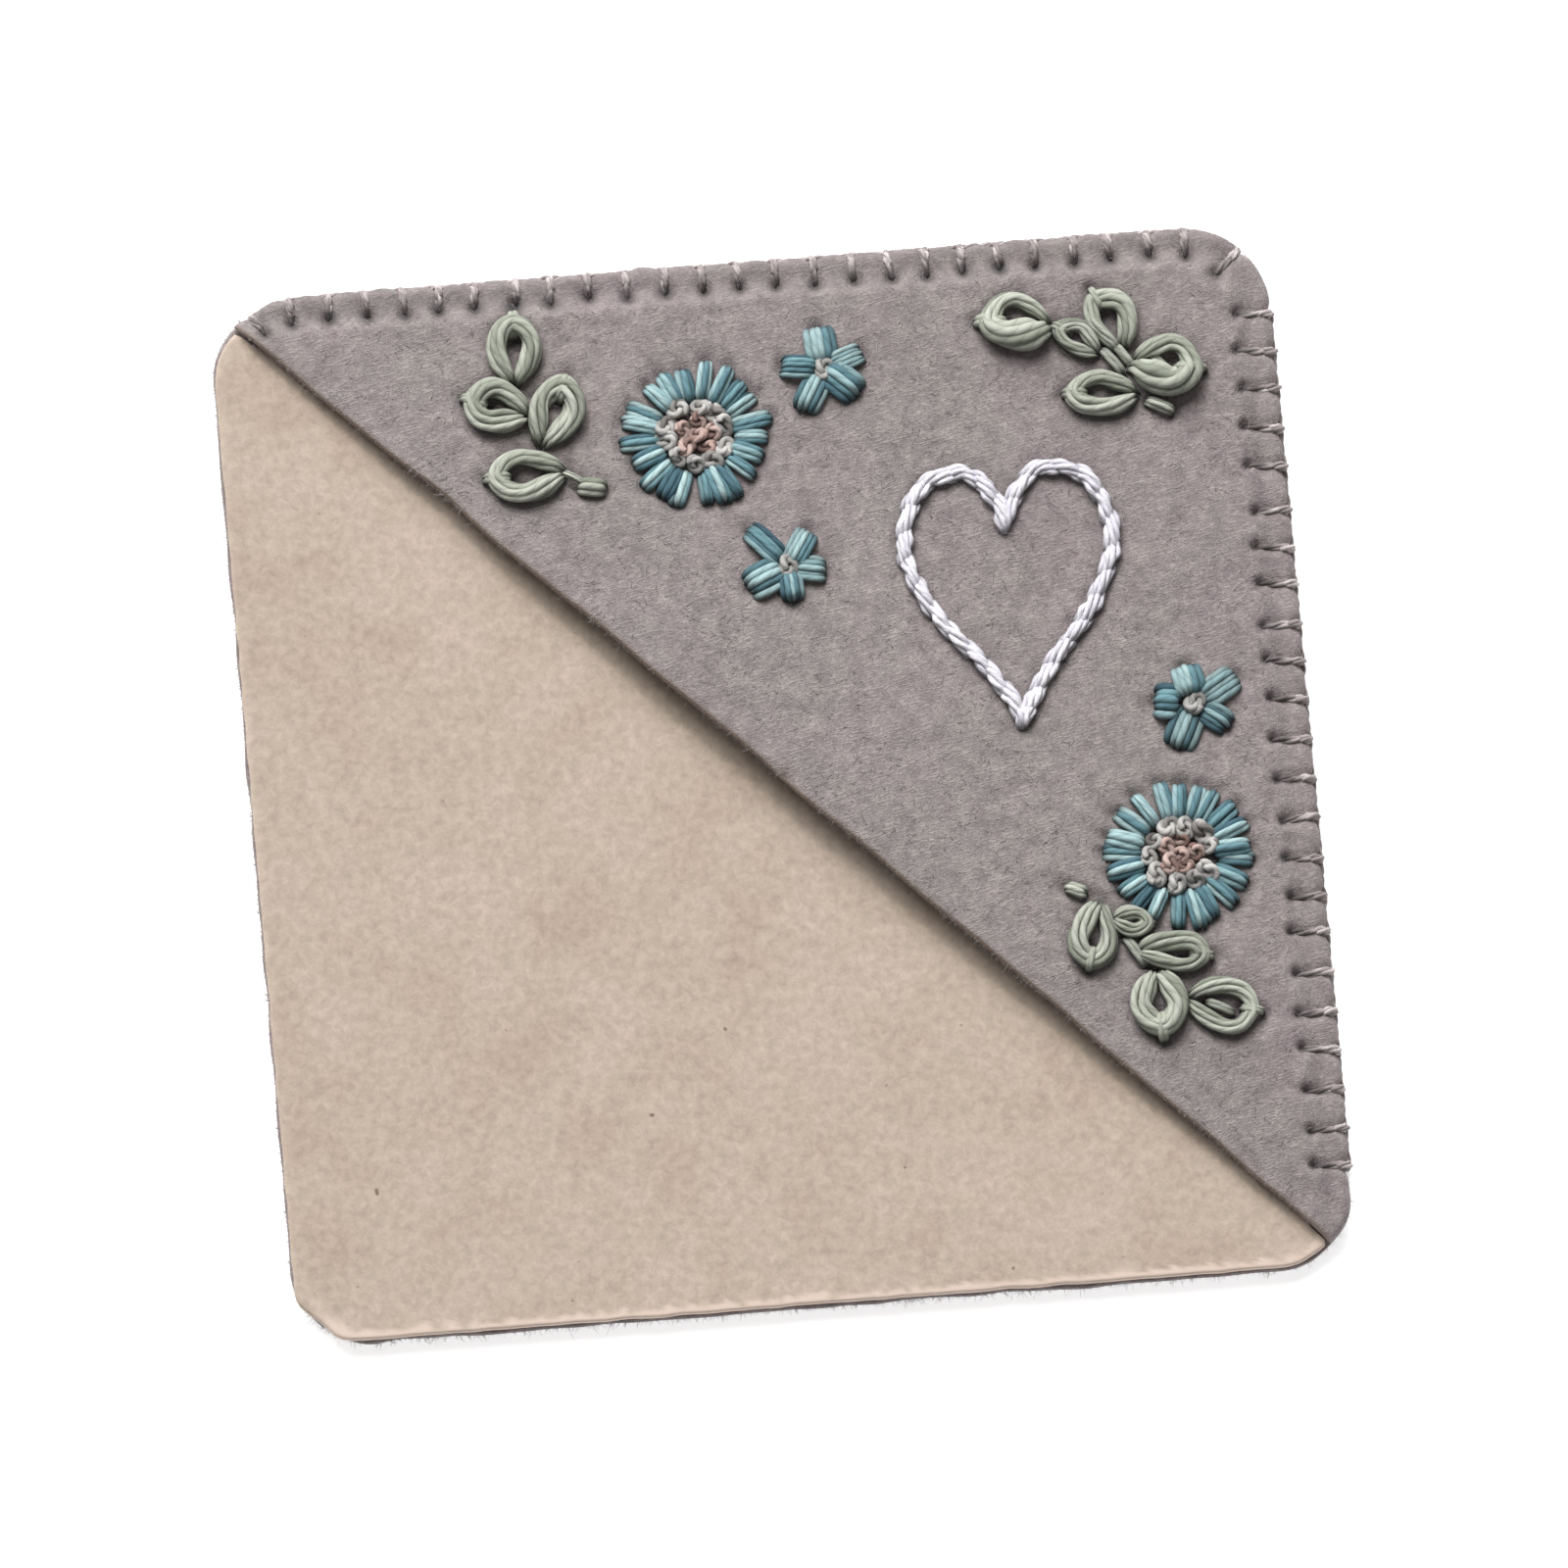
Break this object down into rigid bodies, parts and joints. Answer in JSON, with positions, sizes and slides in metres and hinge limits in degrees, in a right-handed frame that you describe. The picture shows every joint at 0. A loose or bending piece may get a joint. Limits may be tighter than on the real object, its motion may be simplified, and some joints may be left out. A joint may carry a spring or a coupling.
{
  "type": "needle case",
  "caption": "Felt corner pocket, blanket-stitched along two edges and embroidered on the front, with a loose kraft card inside.",
  "frame": {"origin": "middle of the felt square, on the back panel's underside", "axes": "+X towards the stitched side edge, +Y towards the stitched top edge, +Z out of the embroidered front; the open mouth runs along the diagonal x + y = 0"},
  "size_m": [0.0846, 0.0846, 0.0057],
  "materials": {
    "felt_back": "soft grey-taupe craft felt, slightly hairy",
    "felt_front": "soft grey-taupe craft felt, slightly hairy",
    "kraft": "uncoated beige kraft paperboard with fine flecks",
    "taupe_thread": "matte stranded cotton",
    "white_thread": "soft sheen stranded cotton",
    "teal_thread": "soft sheen stranded cotton",
    "sage_thread": "soft sheen stranded cotton",
    "cream_thread": "soft sheen stranded cotton",
    "pink_thread": "soft sheen stranded cotton"
  },
  "bodies": {
    "sleeve": {"back_panel": "felt_back", "front_panel": "felt_front", "blanket_thread_top": "taupe_thread", "blanket_thread_side": "taupe_thread", "heart_outline": "white_thread", "rosette_left_petals": "teal_thread", "rosette_left_knots": "cream_thread", "rosette_left_centre": "pink_thread", "rosette_right_petals": "teal_thread", "rosette_right_knots": "cream_thread", "rosette_right_centre": "pink_thread", "floret_upper_petals": "teal_thread", "floret_upper_knot": "cream_thread", "floret_middle_petals": "teal_thread", "floret_middle_knot": "cream_thread", "floret_right_petals": "teal_thread", "floret_right_knot": "cream_thread", "sprig_left_leaf_1": "sage_thread", "sprig_left_leaf_2": "sage_thread", "sprig_left_leaf_3": "sage_thread", "sprig_left_leaf_4": "sage_thread", "sprig_upper_leaf_1": "sage_thread", "sprig_upper_leaf_2": "sage_thread", "sprig_upper_leaf_3": "sage_thread", "sprig_upper_leaf_4": "sage_thread", "sprig_upper_leaf_5": "sage_thread", "sprig_lower_leaf_1": "sage_thread", "sprig_lower_leaf_2": "sage_thread", "sprig_lower_leaf_3": "sage_thread", "sprig_lower_leaf_4": "sage_thread", "sprig_lower_leaf_5": "sage_thread", "sprig_left_bud": "sage_thread", "sprig_upper_stem": "sage_thread", "sprig_lower_bud": "sage_thread"},
    "card": {"kraft_card": "kraft"}
  },
  "joints": [
    {"name": "card_slide", "type": "slide", "parent": "sleeve", "child": "card", "axis": [-0.7071, -0.7071, 0], "range_m": [0, 0.112]}
  ]
}
